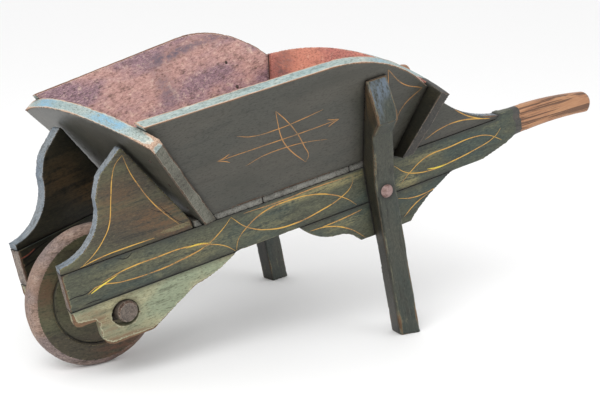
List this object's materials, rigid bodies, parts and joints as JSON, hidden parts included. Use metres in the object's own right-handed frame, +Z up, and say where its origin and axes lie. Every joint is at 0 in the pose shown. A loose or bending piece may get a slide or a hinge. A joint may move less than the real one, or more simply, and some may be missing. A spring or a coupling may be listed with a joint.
{
  "type": "wheelbarrow",
  "caption": "Old painted wooden wheelbarrow: a flared plank tray on two rails that end in handles, with shaped side scrolls, legs and one solid wooden wheel.",
  "frame": {"origin": "on the ground, under the middle of the whole barrow's length and width", "axes": "+X from the wheel towards the handles, +Y towards the pusher's right-hand side, +Z up"},
  "size_m": [1.0798, 0.586, 0.5319],
  "materials": {
    "rail_paint": "worn dark green paint on wood, satin",
    "board_paint": "worn grey-green paint on wood, satin",
    "bare_wood": "weathered bare wood, matt",
    "wheel_paint": "worn reddish grey paint on wood, matt",
    "iron": "dull rusty iron"
  },
  "bodies": {
    "frame": {"back_board": "board_paint", "back_board_nails": "iron", "floor_nails": "iron", "front_board": "board_paint", "front_board_nails": "iron", "front_floor_board": "bare_wood", "front_stretcher": "bare_wood", "left_axle_bracket": "rail_paint", "left_front_scroll": "board_paint", "left_leg": "rail_paint", "left_leg_bolt": "iron", "left_leg_bracket": "rail_paint", "left_leg_nut": "iron", "left_leg_washer": "iron", "left_rail": "rail_paint", "left_rear_scroll": "board_paint", "left_side_board": "board_paint", "leg_nails": "iron", "middle_floor_board": "bare_wood", "rail_dowels": "bare_wood", "rear_floor_board": "bare_wood", "rear_stretcher": "bare_wood", "right_axle_bracket": "rail_paint", "right_front_scroll": "board_paint", "right_leg": "rail_paint", "right_leg_bolt": "iron", "right_leg_bracket": "rail_paint", "right_leg_nut": "iron", "right_leg_washer": "iron", "right_rail": "rail_paint", "right_rear_scroll": "board_paint", "right_side_board": "board_paint", "toe_strip": "bare_wood"},
    "wheel": {"wheel_rim": "wheel_paint", "wheel_disc": "wheel_paint", "axle": "bare_wood"}
  },
  "joints": [
    {"name": "wheel_spin", "type": "hinge", "parent": "frame", "child": "wheel", "pos_m": [-0.41224, 0, 0.127], "axis": [0, 1, 0], "continuous": true}
  ]
}
